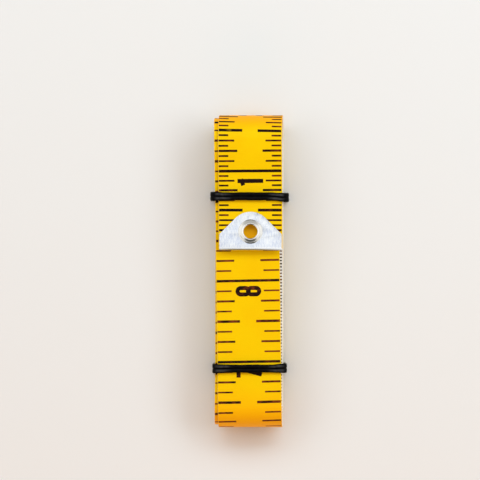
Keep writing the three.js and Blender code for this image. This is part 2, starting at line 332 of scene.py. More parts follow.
# A closed strip in tape coordinates, from one distance along the tape to another.
def flatStrip(start, end):
    inside = path["s"][(path["s"] > start) & (path["s"] < end)]
    rows = np.concatenate([[start], inside, [end]])
    section = tapeSection()
    grid = np.zeros((len(rows), len(section), 3))
    grid[:, :, 0] = rows[:, None]
    grid[:, :, 1:] = section[None]
    faces = ringFaces(len(rows), len(section)).tolist()
    last = (len(rows) - 1) * len(section)
    faces.append(list(range(len(section)))[::-1])
    faces.append([last + point for point in range(len(section))])
    return grid.reshape(-1, 3), faces


# A cutter for the eyelet's hole: a prism along the outward direction.
def holeCutter(centre, radius, steps):
    angle = 2 * np.pi * np.arange(steps) / steps
    ring = np.stack([centre + radius * np.cos(angle), radius * np.sin(angle), 0 * angle], 1)
    points = np.concatenate([ring - [0, 0, 2], ring + [0, 0, 2]])
    faces = [list(range(steps))[::-1], list(range(steps, 2 * steps))]
    return points, faces + ringFaces(2, steps).tolist()


eyelet = {
    "fromFold": 5.8,
    "bore": 2.1,
    "wall": 0.25,
    "play": 0.1,
    "face": 3.8,
    "back": 3.2,
    "seat": 0.525,  # from the middle of the tape to the plates' outside
    "rise": 0.55,
    "backRise": 0.3,
    "around": 96,
    "cutterSides": 64,
}


# The free end: the hole is cut out of the flat strip, which is then laid along the path.
def makeFreeEnd():
    points, faces = flatStrip(path["s"][0], tape["seam"] - tape["seamGap"])
    strip = putMesh("tape_free_cloth", points, faces)
    radius = eyelet["bore"] + eyelet["wall"] + eyelet["play"]
    cutter = putMesh("hole_cutter", *holeCutter(eyelet["fromFold"], radius, eyelet["cutterSides"]))
    cut = strip.modifiers.new("hole", "BOOLEAN")
    cut.operation = "DIFFERENCE"
    cut.solver = "EXACT"
    cut.object = cutter
    graph = bpy.context.evaluated_depsgraph_get()
    cutMesh = bpy.data.meshes.new_from_object(strip.evaluated_get(graph))
    strip.modifiers.clear()
    strip.data = cutMesh
    bpy.data.objects.remove(cutter)
    flat = np.zeros(len(cutMesh.vertices) * 3, np.float32)
    cutMesh.vertices.foreach_get("co", flat)
    flat = flat.reshape(-1, 3) / mm
    cutMesh.vertices.foreach_set("co", (onTape(flat) * mm).astype(np.float32).ravel())
    cutMesh.update()
    turnOutwards(strip)
    cutMesh.set_sharp_from_angle(angle=np.radians(tape["crease"]))
    addCoordinates(strip, "tapePlace", flat)
    return strip


# The rest of the strip, laid along the path.
def makeWinding():
    points, faces = flatStrip(tape["seam"] + tape["seamGap"], path["s"][-1])
    strip = putMesh("tape_wound_cloth", onTape(points), faces)
    addCoordinates(strip, "tapePlace", points)
    return strip


woundCloth = makeWinding()
freeCloth = makeFreeEnd()
print(f"tape cloth: {len(woundCloth.data.polygons)} and {len(freeCloth.data.polygons)} faces")

# Printed figures, drawn in shares of a figure's middle line. A third number rounds a corner.
drawing = {"step": 0.8, "arcPoints": 6, "shortest": 0.02, "lift": 0.003, "crease": 20}
figures = {
    "0": [("ring", [(0, 0, 1), (1, 0, 1), (1, 1, 1), (0, 1, 1)])],
    "1": [("line", [(0.56, 0), (0.56, 1)]), ("line", [(0.56, 0.90), (0.17, 0.86)])],
    "2": [("line", [(0, 0.80), (0, 1, 1), (1, 1, 1), (1, 0.55, 0.7), (0, 0.14, 0.4), (0, 0.08)]),
          ("line", [(0, 0), (1, 0)])],
    "3": [("line", [(0, 0.83), (0, 1, 1), (1, 1, 1), (1, 0.53, 0.9), (0.6, 0.53)]),
          ("line", [(0.6, 0.51), (1, 0.51, 0.9), (1, 0, 1), (0, 0, 1), (0, 0.17)])],
    "4": [("line", [(0.80, 0), (0.80, 1)]), ("line", [(0.50, 0.98), (-0.05, 0.24)]),
          ("line", [(0, 0.2), (1, 0.2)])],
    "5": [("line", [(0.9, 1), (0.05, 1, 0.1), (0.05, 0.56, 0.1), (1, 0.62, 1), (1, 0, 1), (0, 0, 1),
                    (0, 0.17)])],
    "6": [("line", [(1, 0.84), (1, 1, 1), (0, 1, 1), (0, 0, 1), (1, 0, 1), (1, 0.56, 1), (0.3, 0.56)])],
    "7": [("line", [(0, 1), (1, 1, 0.1), (1, 0.88, 0.4), (0.2, 0.02)])],
    "8": [("ring", [(0, 0, 1.1), (1, 0, 1.1), (1, 0.52, 1.1), (0, 0.52, 1.1)]),
          ("ring", [(0, 0.48, 1.1), (1, 0.48, 1.1), (1, 1, 1.1), (0, 1, 1.1)])],
    "9": [("line", [(0, 0.16), (0, 0, 1), (1, 0, 1), (1, 1, 1), (0, 1, 1), (0, 0.44, 1), (0.7, 0.44)])],
}

inchPrint = {
    "start": -0.44,  # the scale is this much short of the tab's zero edge
    "early": 0.36,  # and its first half inch is this much less short
    "earlyUntil": (0.65, 1),  # inches
    "late": 0.4,  # and about its tenth inch this much more
    "lateFrom": (8.3, 9),
    "lateUntil": (12, 14),
    "leftShort": [0.12, 0.42],  # the left marks reach less far in, after two inches still less
    "leftShortFrom": (2, 6),
    "fineInches": 2,  # sixteenths up to here, then eighths
    "clearEnd": 1,  # no mark nearer the tape's end, nor a figure nearer than twice this
    "margin": [0.16, 0.26],  # left and right
    "reachFrom": 0.16,
    "reach": {16: 3.1, 8: 5.0, 4: 5.95, 2: 7.5},
    "weight": {16: 0.50, 8: 0.52, 4: 0.64, 2: 0.80, 1: 0.80},
    "firstWeight": 1.12,  # the sixteenths are printed a little heavier
    "figureHeight": 8.05,
    "figureWidth": 3.28,
    "stroke": 1.28,
    "figureEnd": 1.65,  # from an inch line back to the end of its figures
    "figureGap": 0.77,
    "proud": 0.02,
}

metricPrint = {
    "margin": 0.4,
    "reach": {1: 2.3, 5: 3.6, 10: 5.0},
    "weight": {1: 0.36, 5: 0.40, 10: 0.44},
    "figureHeight": 5.2,
    "figureWidth": 2.3,
    "stroke": 0.66,
    "figureEnd": 1.2,
    "figureGap": 0.5,
    "proud": 0.02,
}


# Rounds the corners of a line: each arc touches both its sides at radius * tan(turn / 2).
def roundedLine(corners, closed, scale):
    spots = np.array([[c[0] * scale[0], c[1] * scale[1]] for c in corners], float)
    radii = [c[2] if len(c) > 2 else 0 for c in corners]
    line = []
    for k, spot in enumerate(spots):
        if radii[k] == 0 or (not closed and k in (0, len(spots) - 1)):
            line.append(spot)
            continue
        into = spots[k - 1] - spot
        out = spots[(k + 1) % len(spots)] - spot
        room = 0.5 * min(np.linalg.norm(into), np.linalg.norm(out))
        into, out = into / np.linalg.norm(into), out / np.linalg.norm(out)
        half = np.arccos(np.clip(into @ out, -1, 1)) / 2
        touch = min(radii[k] / np.tan(half), room)
        middle = spot + (into + out) / np.linalg.norm(into + out) * touch / np.cos(half)
        first, last = spot + into * touch - middle, spot + out * touch - middle
        turn = np.arccos(np.clip(first @ last / (first @ first), -1, 1))
        for share in np.linspace(0, 1, drawing["arcPoints"]):
            arm = np.sin((1 - share) * turn) * first + np.sin(share * turn) * last
            line.append(middle + arm / np.sin(turn))
    line = np.array(line)
    keep = np.linalg.norm(line - np.roll(line, 1, axis=0), axis=1) > drawing["shortest"]
    keep[0] = keep[0] or not closed
    return line[keep]


# The same line with even points between its corners, none further apart than step.
def subdivided(line, closed, step):
    ends = np.concatenate([line, line[:1]]) if closed else line
    parts = []
    for a, b in zip(ends[:-1], ends[1:]):
        count = max(1, int(np.ceil(np.linalg.norm(b - a) / step)))
        parts.append(a + (b - a) * (np.arange(count) / count)[:, None])
    return np.concatenate(parts if closed else parts + [line[-1:]])


# A stroke as a closed slab: the line moved half a stroke to each side, with mitred corners and
# square ends half a stroke past its own. Its face has a middle line, so that it bends with the loops.
def strokeSlab(line, closed, half, low, high):
    before = line - np.roll(line, 1, axis=0)
    after = np.roll(line, -1, axis=0) - line
    if not closed:
        before[0], after[-1] = after[0], before[-1]
    before, after = unit(before), unit(after)
    if not closed:
        line = line.copy()
        line[0] -= half * before[0]
        line[-1] += half * after[-1]
    side = np.stack([-(before + after)[:, 1], (before + after)[:, 0]], 1)
    side /= (1 + (before * after).sum(1))[:, None]
    left, right = line + half * side, line - half * side
    flat = np.zeros((len(line), 5, 3))
    flat[:, 0, :2] = flat[:, 1, :2] = left
    flat[:, 2, :2] = flat[:, 3, :2] = right
    flat[:, 4, :2] = line
    flat[:, [0, 3, 4], 2] = high
    flat[:, [1, 2], 2] = low
    faces = ringFaces(len(line), 5, closed).tolist()
    if not closed:
        last = 5 * (len(line) - 1)
        faces += [[4, 3, 2, 1, 0], [last + corner for corner in range(5)]]
    return flat.reshape(-1, 3), faces


# All strokes of a figure, in millimetres from its lower left corner, each a hair higher than
# the one before it so that no two faces share a plane.
def figureSlabs(figure, style):
    half = style["stroke"] / 2
    scale = (style["figureWidth"] - 2 * half, style["figureHeight"] - 2 * half)
    slabs = []
    for order, (kind, corners) in enumerate(figures[figure]):
        closed = kind == "ring"
        line = subdivided(roundedLine(corners, closed, scale), closed, drawing["step"])
        lift = style["proud"] + drawing["lift"] * order
        points, faces = strokeSlab(line + half, closed, half, -style["proud"], lift)
        slabs.append((points, faces))
    return slabs


# Gathers printed marks in tape coordinates, and makes one mesh of them.
class Print:
    def __init__(self, name, outside):
        self.name = name
        self.face = 1 if outside else -1
        self.points = []
        self.faces = []
        self.weights = []
        self.count = 0

    # points hold distance along the tape, place across it, and height over the printed face
    def add(self, points, faces, weight):
        flat = np.array(points, float)
        flat[:, 2] = self.face * (halfThick + flat[:, 2])
        self.points.append(flat)
        self.faces += [[corner + self.count for corner in face] for face in faces]
        self.weights.append(np.full(len(flat), weight))
        self.count += len(flat)

    def make(self):
        flat = np.concatenate(self.points)
        piece = putMesh(self.name, onTape(flat), self.faces, drawing["crease"])
        turnOutwards(piece)
        flat[:, 2] = np.concatenate(self.weights)
        addCoordinates(piece, "printPlace", flat)
        return piece


tickFaces = ringFaces(2, 4).tolist() + [[3, 2, 1, 0], [4, 5, 6, 7]]


# A straight mark across the tape, from one place across to another, that may lean.
def tickPoints(s, width, fromU, toU, lean, proud):
    corners = []
    for u in (fromU, toU):
        middle = s + lean * u
        corners += [
            (middle - width / 2, u, proud),
            (middle - width / 2, u, -proud),
            (middle + width / 2, u, -proud),
            (middle + width / 2, u, proud),
        ]
    return corners


askew = {"slope": 0.006, "from": (60, 120), "right": 0.012, "rightFrom": (150, 158), "rightUntil": (168, 176)}


# The printing lies a little askew from the third inch on, and more near its right edge where
# the tape turns into the lower loop.
def leanOf(s, onRight):
    lean = askew["slope"] * smooth(s, *askew["from"])
    if onRight:
        lean += askew["right"] * smooth(s, *askew["rightFrom"]) * (1 - smooth(s, *askew["rightUntil"]))
    return lean


# A mark for each sixteenth or eighth of an inch, in from both edges: the rounder its share of an
# inch, the longer. Full inches cross the whole tape, and their number ends just before them.
def printInches(parts):
    style = inchPrint
    left, right = [halfWide - margin for margin in style["margin"]]
    for sixteenth in range(1, int(tape["length"] / inchLength * 16) + 1):
        inches = sixteenth / 16
        share = 16 // np.gcd(sixteenth, 16)
        if share == 16 and inches > style["fineInches"]:
            continue
        s = inches * inchLength + style["start"] + style["early"] * (1 - smooth(inches, *style["earlyUntil"]))
        s -= style["late"] * smooth(inches, *style["lateFrom"]) * (1 - smooth(inches, *style["lateUntil"]))
        if s + style["clearEnd"] > tape["length"]:
            continue
        part = parts[0] if s < tape["seam"] else parts[1]
        width = style["weight"][share] * (style["firstWeight"] if inches < style["fineInches"] else 1)
        if share == 1:
            part.add(tickPoints(s, width, -left, right, leanOf(s, False), style["proud"]), tickFaces, 1)
            continue
        for side in (-1, 1):
            short = mix(*style["leftShort"], smooth(inches, *style["leftShortFrom"])) if side < 0 else 0
            edge = right if side > 0 else left
            inner = halfWide - style["reachFrom"] - style["reach"][share] + short
            ends = sorted([side * edge, side * inner])
            lean = leanOf(s, side > 0)
            part.add(tickPoints(s, width, *ends, lean, style["proud"]), tickFaces, width)
    for inch in range(1, int(tape["length"] / inchLength) + 1):
        end = inch * inchLength + style["start"] - style["figureEnd"]
        if end < tape["length"] - 2 * style["clearEnd"]:
            printNumber(str(inch), end, style, parts, False)


# Figures read along the tape with their tops towards -X. On the white side they read the
# other way along.
def printNumber(number, end, style, parts, fromFarEnd):
    step = style["figureWidth"] + style["figureGap"]
    for place, figure in enumerate(number):
        start = end - step * (len(number) - place) + style["figureGap"]
        for points, faces in figureSlabs(figure, style):
            flat = np.array(points)
            flat[:, 0] = start + points[:, 0]
            flat[:, 1] = style["figureHeight"] / 2 - points[:, 1]
            if fromFarEnd:
                flat[:, 0] = tape["length"] - flat[:, 0]
            part = parts[0] if flat[:, 0].min() < tape["seam"] else parts[1]
            part.add(flat, faces, 1)


# The white side's scale starts at the tape's other end: a mark for each millimetre, longer for
# each fifth and tenth one, and a number before each centimetre.
def printMillimetres(parts):
    style = metricPrint
    edge = halfWide - style["margin"]
    for millimetre in range(2, int(tape["length"]) - 1):
        share = 10 if millimetre % 10 == 0 else 5 if millimetre % 5 == 0 else 1
        s = tape["length"] - millimetre
        part = parts[0] if s < tape["seam"] else parts[1]
        for side in (-1, 1):
            ends = sorted([side * edge, side * (edge - style["reach"][share])])
            width = style["weight"][share]
            part.add(tickPoints(s, width, *ends, 0, style["proud"]), tickFaces, 1)
    for centimetre in range(1, int(tape["length"] / 10)):
        printNumber(str(centimetre), 10 * centimetre - style["figureEnd"], style, parts, True)


inchParts = [Print("inch_print_free", True), Print("inch_print_wound", True)]
metricParts = [Print("metric_print_free", False), Print("metric_print_wound", False)]
printInches(inchParts)
printMillimetres(metricParts)
inchFree, inchWound = [part.make() for part in inchParts]
metricFree, metricWound = [part.make() for part in metricParts]
print(f"printing: {len(inchWound.data.polygons)} and {len(metricWound.data.polygons)} faces")


# The end tab keeps the frame's own shape. Its plates are joined up and their edges broken.
def brokenEdges(node, name, width):
    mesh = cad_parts[node].data.copy()
    mesh.name = name
    shape = bmesh.new()
    shape.from_mesh(mesh)
    bmesh.ops.remove_doubles(shape, verts=shape.verts, dist=1e-6)
    bmesh.ops.dissolve_limit(shape, angle_limit=np.radians(1), verts=shape.verts, edges=shape.edges)
    shape.to_mesh(mesh)
    shape.free()
    mesh.shade_smooth()
    mesh.materials.clear()
    piece = addObject(name, mesh)
    bevel = piece.modifiers.new("broken edges", "BEVEL")
    bevel.width = width * mm
    bevel.segments = 2
    bevel.limit_method = "ANGLE"
    bevel.angle_limit = np.radians(40)  # the round of the fold stays as it is
    bevel.harden_normals = True
    return piece


tabPlate = brokenEdges("end_tab", "tab_plate", 0.05)

# Where the tip of the tape is, in the frame: the fold's outer edge, and how the tab is tilted.
tilt = np.radians(tape["flapTilt"])
tip = np.array([
    swayOf(0, (bendY - hank["bottomCentre"]) / hank["run"]),
    bendY - tape["flapLength"] * np.cos(tilt) - halfThick * np.sin(tilt),
    frontZ(0) + halfThick + tape["flapLength"] * np.sin(tilt) - halfThick * np.cos(tilt),
])


# Turns points from the tab's own frame (y up from the fold, z out of its face) to the hank's.
def onTab(points):
    x, y, z = points.T
    turned = [x, y * np.cos(tilt) + z * np.sin(tilt), z * np.cos(tilt) - y * np.sin(tilt)]
    return np.stack(turned, 1) + tip


# A Catmull-Rom line through the knots, open or closed.
def curveThrough(knots, steps, closed=False):
    knots = np.asarray(knots, float)
    count = len(knots)
    spans = count if closed else count - 1
    place = np.arange(spans * steps) / steps
    span = place.astype(int)
    t = (place - span)[:, None]

    def knot(offset):
        index = span + offset
        return knots[index % count if closed else np.clip(index, 0, count - 1)]

    a, b, c, d = knot(-1), knot(0), knot(1), knot(2)
    line = b + 0.5 * t * (c - a + t * (2 * a - 5 * b + 4 * c - d + t * (3 * (b - c) + d - a)))
    return line if closed else np.concatenate([line, knots[-1:]])


# The eyelet turned round its axis: a barrel, a front flange with a raised bead round the bore
# and a thin lip, and a rolled back.
def makeEyelet():
    bore, face, back = eyelet["bore"], eyelet["face"], eyelet["back"]
    outer, seat = bore + eyelet["wall"], eyelet["seat"]
    rise, backRise = eyelet["rise"], eyelet["backRise"]
    profile = curveThrough([
        (bore, -seat + 0.05),
        (bore, 0),
        (bore, seat - 0.02),
        (bore + 0.10, seat + 0.72 * rise),
        (bore + 0.42, seat + rise),
        (bore + 0.78, seat + 0.80 * rise),
        (mix(bore, face, 0.66), seat + 0.60 * rise),
        (face - 0.22, seat + 0.42 * rise),
        (face, seat + 0.16 * rise),
        (face - 0.05, seat + 0.01),
        (face - 0.5, seat + 0.005),
        (outer + 0.25, seat + 0.005),
        (outer, seat - 0.12),
        (outer, 0),
        (outer, 0.12 - seat),
        (outer + 0.2, -seat - 0.005),
        (back - 0.15, -seat - 0.005),
        (back, -seat - 0.45 * backRise),
        (back - 0.25, -seat - 0.95 * backRise),
        (bore + 0.35, -seat - backRise),
        (bore + 0.06, -seat - 0.5 * backRise),
    ], 5, closed=True)
    angle = 2 * np.pi * np.arange(eyelet["around"]) / eyelet["around"]
    grid = np.zeros((len(angle), len(profile), 3))
    grid[:, :, 0] = np.cos(angle)[:, None] * profile[None, :, 0]
    grid[:, :, 1] = np.sin(angle)[:, None] * profile[None, :, 0] + eyelet["fromFold"]
    grid[:, :, 2] = profile[None, :, 1]
    faces = ringFaces(len(angle), len(profile), closed=True)
    return putMesh("eyelet_ring", onTab(grid.reshape(-1, 3)), faces, crease=60)


eyeletRing = makeEyelet()

bands = {
    "upper_band": {
        "y": 23.502,
        "halfWide": 12.36,
        "high": 16.83,
        "droop": -0.35,
        "spread": 0.12,  # the strands lie wider apart, and are wider, at the edges of the tape
        "crossingAt": 0.78,  # share of the lap from the right wall up, over and round the back
    },
    "lower_band": {
        "y": -30.46,
        "halfWide": 11.72,
        "high": 15.95,
        "droop": 0.12,
        "spread": 0.20,
        "crossingAt": 0.72,
    },
}
strand = {
    "width": 1.32,
    "rise": 0.96,
    "pitch": 1.2,
    "corner": 0.85,
    "power": 2.7,  # above 2 the section is squarer than an ellipse
    "steps": 280,  # points along one lap
    "around": 20,
    "crossing": 5.5,  # half the length over which the strands change places
    "squeeze": 0.52,  # how much of their thickness is pressed out of them where they cross
    "squeezeRun": 0.6,
    "widening": 0.18,
    "widenedFrom": (4.5, 0.6),  # in from the wall
    "sag": 0.12,
    "sagFrom": (3.5, 1.6),  # out from the middle, and in from the wall
    "wallSqueeze": 0.15,  # the strands are drawn a little thinner down the edges of the tape
    "wallFrom": (1.4, 0.6),
    "droopFrom": 5,
    "wobble": [(0.035, 0.71, 0), (0.02, 1.9, 1)],  # sines: height, turn for each mm, and start
}


# One lap round the hank as a rounded rectangle, from the middle of the right wall.
def bandLap(size, count):
    halfWide = size["halfWide"] - strand["rise"] / 2
    low, high = strand["rise"] / 2, size["high"] - strand["rise"] / 2
    middle, halfHigh = (low + high) / 2, (high - low) / 2
    corner = strand["corner"]
    angle = np.radians(np.linspace(0, 90, 13))
    quarter = np.stack([np.cos(angle), np.sin(angle)], 1) * corner
    inset = np.array([halfWide - corner, halfHigh - corner])
    turned = [
        inset + quarter,
        (inset + quarter[::-1]) * [-1, 1],
        -(inset + quarter),
        (inset + quarter[::-1]) * [1, -1],
    ]
    line = np.concatenate([[[halfWide, 0]], *turned, [[halfWide, 0]]])
    travelled = np.concatenate([[0], np.cumsum(np.linalg.norm(np.diff(line, axis=0), axis=1))])
    at = np.linspace(0, travelled[-1], count + 1)[:-1]
    lap = np.stack([np.interp(at, travelled, line[:, k]) for k in range(2)], 1)
    return lap + [0, middle], travelled[-1]


# Two laps of one strand that change places on the back. There each is pressed to about half its
# thickness, the outer one against what the hank lies on and the inner one against the tape.
def makeBand(node, size):
    count, around, wall = strand["steps"], strand["around"], size["halfWide"]
    lap, lapLength = bandLap(size, count)
    lap = np.roll(lap, -int(size["crossingAt"] * count), axis=0)
    x, z = np.tile(lap[:, 0], 2), np.tile(lap[:, 1], 2)
    at = np.arange(2 * count) / count * lapLength
    over = at - lapLength
    under = np.where(at > lapLength, at - 2 * lapLength, at)
    reach = strand["crossing"]
    place = np.where(np.abs(over) < lapLength / 2, 1 - 2 * smooth(over, -reach, reach),
                     2 * smooth(under, -reach, reach) - 1)
    onTop = z > size["high"] / 2
    nearEdge, nearWall = [
        smooth(np.abs(x), *[wall - inward for inward in strand[key]]) for key in ("widenedFrom", "wallFrom")]
    spread = (strand["pitch"] + size["spread"] * nearEdge) / 2
    wobble = sum(rise * np.sin(at * turn + start) for rise, turn, start in strand["wobble"])
    droop = size["droop"] * smooth(x, strand["droopFrom"], wall)
    y = size["y"] + place * spread + wobble * np.abs(place) + droop
    z = z - strand["sag"] * onTop * smooth(np.abs(x), strand["sagFrom"][0], wall - strand["sagFrom"][1])
    overlap = [np.exp(-((gone / (strand["squeezeRun"] * reach)) ** 2)) for gone in (over, under)]
    atWall = strand["wallSqueeze"] * nearWall
    thin = 1 - strand["squeeze"] * (overlap[0] + overlap[1]) - atWall
    line = np.stack([x, y, z], 1)
    along = unit(np.roll(line, -1, axis=0) - np.roll(line, 1, axis=0))
    across = unit(np.array([0, 1.0, 0]) - along[:, 1:2] * along)
    outward = np.cross(across, along)
    pushed = strand["squeeze"] * (overlap[0] - overlap[1]) + atWall
    line += (0.5 * strand["rise"] * pushed)[:, None] * outward
    angle = 2 * np.pi * np.arange(around) / around
    power = 2 / strand["power"]
    wide = strand["width"] / 2 * np.sign(np.cos(angle)) * np.abs(np.cos(angle)) ** power
    high = strand["rise"] / 2 * np.sign(np.sin(angle)) * np.abs(np.sin(angle)) ** power
    high = high[None, :] * thin[:, None]
    wide = wide[None, :] * (1 + strand["widening"] * nearEdge)[:, None]
    grid = line[:, None] + wide[:, :, None] * across[:, None] + high[:, :, None] * outward[:, None]
    faces = ringFaces(2 * count, around, closed=True)
    band = putMesh(node + "_rubber", grid.reshape(-1, 3), faces, crease=60)
    turnOutwards(band)
    place = np.zeros((2 * count * around, 3))
    place[:, 0] = np.repeat(at, around)
    place[:, 1] = np.tile(angle, 2 * count)
    addCoordinates(band, "strandPlace", place)
    return band


bandPieces = {node: makeBand(node, size) for node, size in bands.items()}
print("tab, eyelet and bands made")


# A socket that can stand in sums: each operator adds the Math node that it needs.
class Wire:
    def __init__(self, finish, socket):
        self.finish = finish
        self.socket = socket

    def sum(self, operation, first, second=0):
        return self.finish.node("ShaderNodeMath", {"operation": operation}, {0: first, 1: second})

    def __add__(self, other):
        return self.sum("ADD", self, other)

    def __radd__(self, other):
        return self.sum("ADD", other, self)

    def __sub__(self, other):
        return self.sum("SUBTRACT", self, other)

    def __rsub__(self, other):
        return self.sum("SUBTRACT", other, self)

    def __mul__(self, other):
        return self.sum("MULTIPLY", self, other)

    def __rmul__(self, other):
        return self.sum("MULTIPLY", other, self)


# The nodes of a new material, or of the world.
class Finish:
    def __init__(self, name, world=None):
        self.material = world or bpy.data.materials.new(name)
        self.material.use_nodes = True
        self.tree = self.material.node_tree
        self.shader = self.tree.nodes["Background" if world else "Principled BSDF"]

    # Adds a node of any type, with its settings first and then its sockets' values or links.
    def node(self, kind, settings=None, sockets=None, output=0):
        made = self.tree.nodes.new(kind)
        for key, value in (settings or {}).items():
            if key == "stops":
                self.setStops(made.color_ramp, value)
            else:
                setattr(made, key, value)
        for key, value in (sockets or {}).items():
            self.feed(made.inputs[key], value)
        return Wire(self, made.outputs[output])

    def feed(self, socket, value):
        if isinstance(value, Wire):
            self.tree.links.new(value.socket, socket)
        else:
            socket.default_value = value

    def setStops(self, ramp, stops):
        while len(ramp.elements) < len(stops):
            ramp.elements.new(0.5)
        for element, (place, colour) in zip(ramp.elements, stops):
            element.position = place
            element.color = (*colour, 1)

    def set(self, **sockets):
        for key, value in sockets.items():
            self.feed(self.shader.inputs[spoken[key]], value)

    def attribute(self, name):
        place = self.node("ShaderNodeAttribute", {"attribute_name": name}, output="Vector")
        parts = [self.node("ShaderNodeSeparateXYZ", sockets={0: place}, output=k) for k in range(3)]
        return place, parts

    def objectPlace(self, scale):
        place = self.node("ShaderNodeTexCoord", output="Object")
        return self.node("ShaderNodeMapping", sockets={"Vector": place, "Scale": scale})

    # one coordinate of the place in the hank, in metres
    def hankPlace(self, axis):
        place = self.node("ShaderNodeTexCoord", output="Object")
        return self.node("ShaderNodeSeparateXYZ", sockets={0: place}, output=axis)

    def noise(self, place, scale, detail=3, roughness=0.5):
        sockets = {"Vector": place, "Scale": scale, "Detail": detail, "Roughness": roughness}
        return self.node("ShaderNodeTexNoise", {"noise_dimensions": "3D"}, sockets)

    def ramp(self, value, low, high):
        sockets = {"Value": value, "From Min": low, "From Max": high}
        settings = {"interpolation_type": "SMOOTHSTEP", "clamp": True}
        return self.node("ShaderNodeMapRange", settings, sockets)

    def blend(self, share, first, second):
        made = self.tree.nodes.new("ShaderNodeMix")
        made.data_type = "RGBA"
        for key, value in (("Factor", share), ("A", first), ("B", second)):
            sockets = [s for s in made.inputs if s.name == key and s.enabled]
            self.feed(sockets[0], (*value, 1) if isinstance(value, tuple) else value)
        return Wire(self, [s for s in made.outputs if s.enabled][0])

    def bump(self, height, strength, depth):
        sockets = {"Strength": strength, "Distance": depth * mm, "Height": height}
        return self.node("ShaderNodeBump", sockets=sockets)


spoken = {
    "colour": "Base Color",
    "roughness": "Roughness",
    "metal": "Metallic",
    "normal": "Normal",
    "specular": "Specular IOR Level",
}


cloth = {
    "yellow": (0.935, 0.625, 0.001),
    "deepYellow": (0.925, 0.560, 0.001),
    "threadShade": (0.80, 0.36, 0.003),
    "loopShadeYellow": (0.980, 0.430, 0.002),  # painted shade: the yellow deepens to orange towards both loops
    "lowerLoopShade": (0.034, 0.0475),  # metres from the middle of the hank
    "upperLoopShade": (0.0435, 0.0485),
    "lowerLoopShadeShare": 0.75,
    "pressed": (0.99, 0.340, 0.010),  # painted shade: deeper orange on the tape beneath the eyelet's hole
    "pressedAt": (0.00026, 0.01245, 0.0148),
    "pressedReach": (0.0028, 0.0014),
    "pressedShare": 0.5,
    "white": (0.95, 0.95, 0.94),
    "core": (0.86, 0.80, 0.62),
    "threadPitch": 0.42,
}


# Yellow where the cloth's own height is above its middle and white below, cloudy, with painted shade that
# deepens it towards the loops and under the eyelet's hole, over a weave of one cosine along the tape and one
# across. The core shows at the edges.
def clothFinish():
    finish = Finish("coated_cloth")
    place, (s, u, n) = finish.attribute("tapePlace")
    turn = 2 * np.pi / cloth["threadPitch"]
    weft = (s * turn).sum("COSINE", s * turn)
    warp = (u * turn).sum("COSINE", u * turn)
    grid = weft * 0.5 + warp * 0.5
    cloudy = finish.ramp(finish.noise(place, 0.09, 3), 0.35, 0.75)
    grain = finish.noise(place, 2.6, 2)
    yellow = finish.blend(cloudy * 0.7 + grain * 0.2, cloth["yellow"], cloth["deepYellow"])
    yellow = finish.blend((1 - grid) * 0.035, yellow, cloth["threadShade"])
    y = finish.hankPlace(1)
    # painted shade: orange towards the lower and the upper loop
    loopShade = finish.ramp(0 - y, *cloth["lowerLoopShade"]) * cloth["lowerLoopShadeShare"]
    loopShade = loopShade + finish.ramp(y, *cloth["upperLoopShade"])
    yellow = finish.blend(loopShade, yellow, cloth["loopShadeYellow"])
    # painted shade: a deeper orange disc where the tape shows through the eyelet's hole
    spot = finish.node("ShaderNodeTexCoord", output="Object")
    settings = {"operation": "DISTANCE"}
    away = finish.node("ShaderNodeVectorMath", settings, {0: spot, 1: cloth["pressedAt"]}, "Value")
    pressed = finish.ramp(0 - away, *[-reach for reach in cloth["pressedReach"]]) * cloth["pressedShare"]
    yellow = finish.blend(pressed, yellow, cloth["pressed"])
    side = finish.ramp(n, -0.12, 0.08)
    colour = finish.blend(side, cloth["white"], yellow)
    rim = finish.ramp(u.sum("ABSOLUTE", u), halfWide - 0.10, halfWide - 0.01)
    core = finish.blend(weft * 0.25 + 0.35, cloth["core"], yellow)
    colour = finish.blend(rim * 0.55, colour, core)
    rough = finish.noise(place, 0.7, 4)
    finish.set(
        colour=colour,
        roughness=0.36 + rough * 0.16 + rim * 0.2,
        normal=finish.bump(grid * 0.5 + grain * 0.6, 0.35, 0.012),
        specular=0.07,
    )
    return finish.material


ink = {
    "fresh": (0.012, 0.005, 0.004),
    "worn": (0.22, 0.046, 0.014),
    "wornFrom": (60, 130),  # millimetres along the tape
    "wornBy": 0.13,
    "heavy": 0.40,  # heavier marks wear less
}


# Dark ink, worn in patches to a thin brown, more further along the tape and to the right.
def inkFinish():
    finish = Finish("printing_ink")
    place, (s, u, weight) = finish.attribute("printPlace")
    patchy = finish.noise(place, 0.5, 4, 0.6)
    thinner = u * 0.004 + finish.ramp(s, *ink["wornFrom"]) * ink["wornBy"] - 0.05
    worn = finish.ramp(patchy + thinner - weight * ink["heavy"], 0.10, 0.50)
    colour = finish.blend(worn, ink["fresh"], ink["worn"])
    finish.set(colour=colour, roughness=0.42 + patchy * 0.2, specular=0.06)
    return finish.material


brushed = {
    "grey": (0.60, 0.665, 0.80),
    "bright": (0.94, 0.975, 1.0),
    "long": (2300, 620, 900),  # repeats in a metre, along each axis
    "fine": (7000, 2600, 4000),
    "cloudy": (330, 260, 260),
    "bend": (-0.0078, -0.0070),  # painted highlight where the sheet is bent round the tape
}


